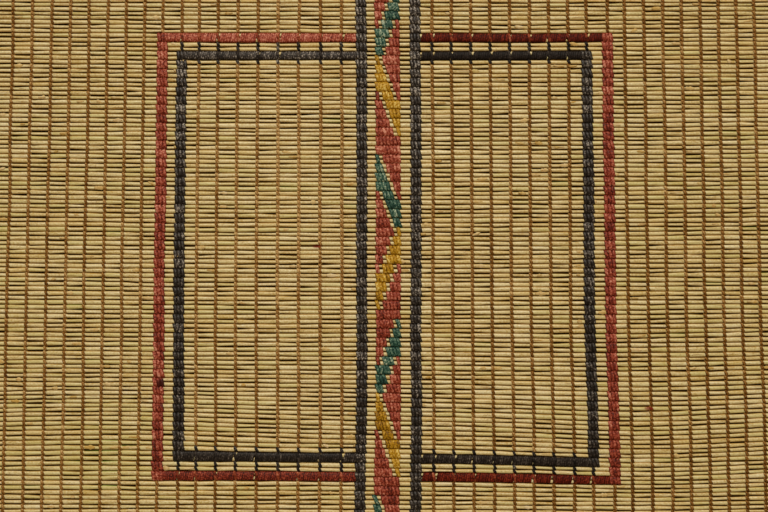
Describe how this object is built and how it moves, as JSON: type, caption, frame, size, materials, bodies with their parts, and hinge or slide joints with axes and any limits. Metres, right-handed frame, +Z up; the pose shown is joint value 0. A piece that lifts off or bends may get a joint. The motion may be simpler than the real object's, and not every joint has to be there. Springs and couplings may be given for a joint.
{
  "type": "woven reed mat",
  "caption": "Flat mat of grass stems laid side by side and bound by leather thongs, with black bands, nested red and black brackets and a zigzag of dyed leather strips.",
  "frame": {"origin": "on the surface the mat lies on, under the middle of the mat", "axes": "+X along the reeds, +Y along the thongs towards the upper edge, +Z up out of the face with the pattern"},
  "size_m": [0.48, 0.3252, 0.0044],
  "materials": {
    "reed": "split and dried grass stems, waxy straw yellow with a soft shine",
    "brown": "undyed goatskin thong, matt tan brown",
    "black": "dyed leather strip, matt charcoal black",
    "red": "dyed leather strip, dull brick red",
    "yellow": "dyed leather strip, ochre yellow",
    "green": "dyed leather strip, dark green"
  },
  "bodies": {
    "root": {"reed_field": "reed", "thong_outer_left_1": "brown", "thong_outer_left_2": "brown", "thong_outer_left_3": "brown", "thong_outer_left_4": "brown", "thong_outer_left_5": "brown", "thong_outer_left_6": "brown", "thong_outer_left_7": "brown", "thong_outer_left_8": "brown", "thong_inner_left_1": "brown", "thong_inner_left_2": "brown", "thong_inner_left_3": "brown", "thong_inner_left_4": "brown", "thong_inner_left_5": "brown", "thong_inner_left_6": "brown", "thong_inner_left_7": "brown", "thong_inner_left_8": "brown", "thong_inner_right_1": "brown", "thong_inner_right_2": "brown", "thong_inner_right_3": "brown", "thong_inner_right_4": "brown", "thong_inner_right_5": "brown", "thong_inner_right_6": "brown", "thong_inner_right_7": "brown", "thong_inner_right_8": "brown", "thong_outer_right_1": "brown", "thong_outer_right_2": "brown", "thong_outer_right_3": "brown", "thong_outer_right_4": "brown", "thong_outer_right_5": "brown", "thong_outer_right_6": "brown", "thong_outer_right_7": "brown", "thong_outer_right_8": "brown", "centre_band_left": "black", "centre_band_right": "black", "bracket_red_left": "red", "thong_behind_red_left": "brown", "bracket_black_left": "black", "thong_behind_black_left": "brown", "bracket_black_right": "black", "thong_behind_black_right": "brown", "bracket_red_right": "red", "thong_behind_red_right": "brown", "zigzag_red_1": "red", "zigzag_red_2": "red", "zigzag_red_3": "red", "zigzag_red_4": "red", "zigzag_red_5": "red", "zigzag_red_6": "red", "zigzag_red_7": "red", "zigzag_yellow_1": "yellow", "zigzag_yellow_2": "yellow", "zigzag_yellow_3": "yellow", "zigzag_green_1": "green", "zigzag_green_2": "green", "zigzag_green_3": "green", "zigzag_green_4": "green"}
  },
  "joints": []
}
